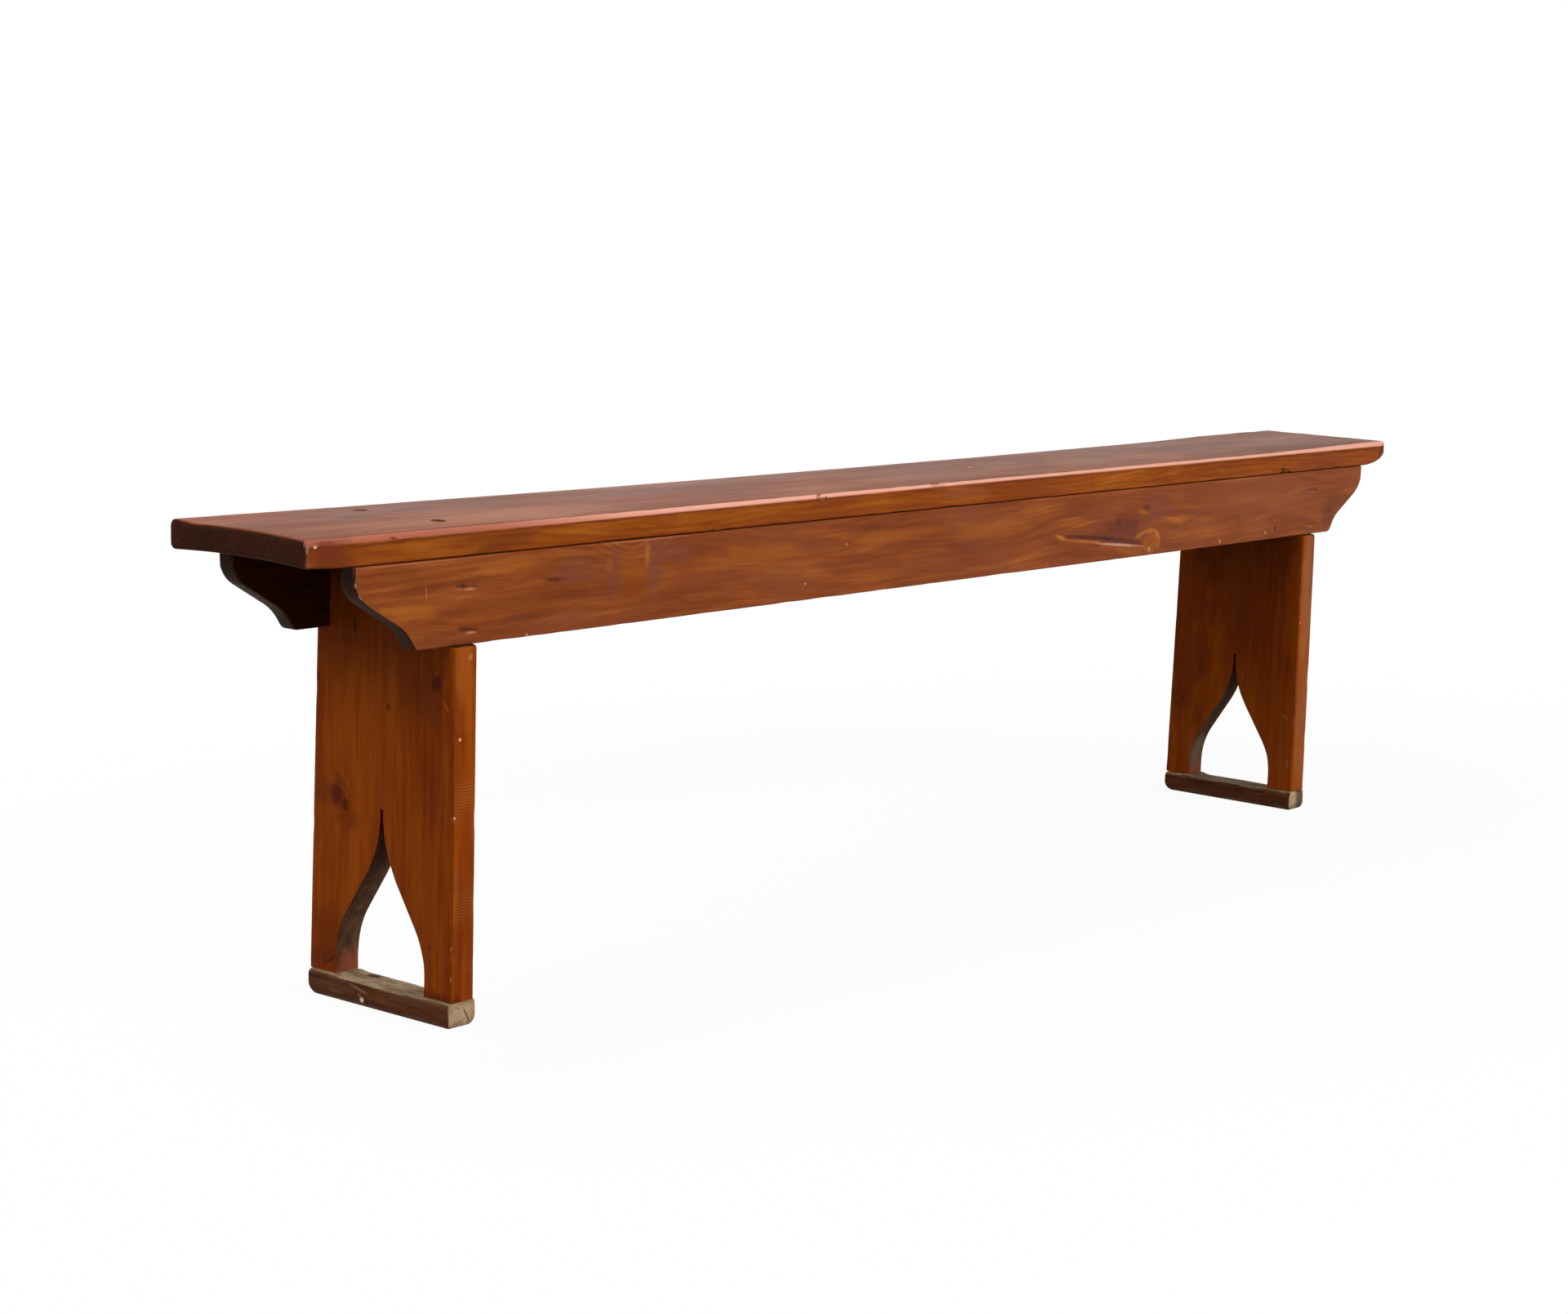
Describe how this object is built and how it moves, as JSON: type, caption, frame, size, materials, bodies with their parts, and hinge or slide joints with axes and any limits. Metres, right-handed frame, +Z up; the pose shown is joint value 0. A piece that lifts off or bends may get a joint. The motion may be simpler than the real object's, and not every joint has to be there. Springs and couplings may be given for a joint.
{
  "type": "bench",
  "caption": "Long narrow backless pine bench: cupped plank seat on two side rails with ogee ends, slab legs with keel-arch cut-outs, and sole boards underneath.",
  "frame": {"origin": "on the floor, midway between the legs and under the middle of the sole boards' length", "axes": "+X along the bench, +Y from front to back, +Z up; the seat and rails sit 3 mm towards +Y of the legs and soles, and the seat's front arris is the rounder one"},
  "size_m": [1.846, 0.1862, 0.453],
  "materials": {
    "seat_wood": "pine stained red-brown under old varnish, worn paler at the arrises and the ends",
    "rail_wood": "pine stained orange-brown under satin varnish",
    "leg_wood": "pine stained orange-brown under satin varnish, grain upright",
    "sole_wood": "scuffed brown stain, bare grey-beige end grain",
    "pellet_wood": "dark stained end-grain pellets flush with the seat",
    "nail_iron": "rusted black-brown cut nails",
    "screw_steel": "dull oiled steel"
  },
  "bodies": {
    "root": {"seat_plank": "seat_wood", "front_rail": "rail_wood", "back_rail": "rail_wood", "left_leg": "leg_wood", "right_leg": "leg_wood", "left_sole": "sole_wood", "right_sole": "sole_wood", "front_seat_nails": "nail_iron", "back_seat_nails": "nail_iron", "left_front_rail_nails": "nail_iron", "left_back_rail_nails": "nail_iron", "right_front_rail_nails": "nail_iron", "right_back_rail_nails": "nail_iron", "left_sole_nails": "nail_iron", "right_sole_nails": "nail_iron", "left_seat_screws": "screw_steel", "right_seat_screws": "screw_steel", "left_seat_pellets": "pellet_wood", "right_seat_pellets": "pellet_wood"}
  },
  "joints": []
}
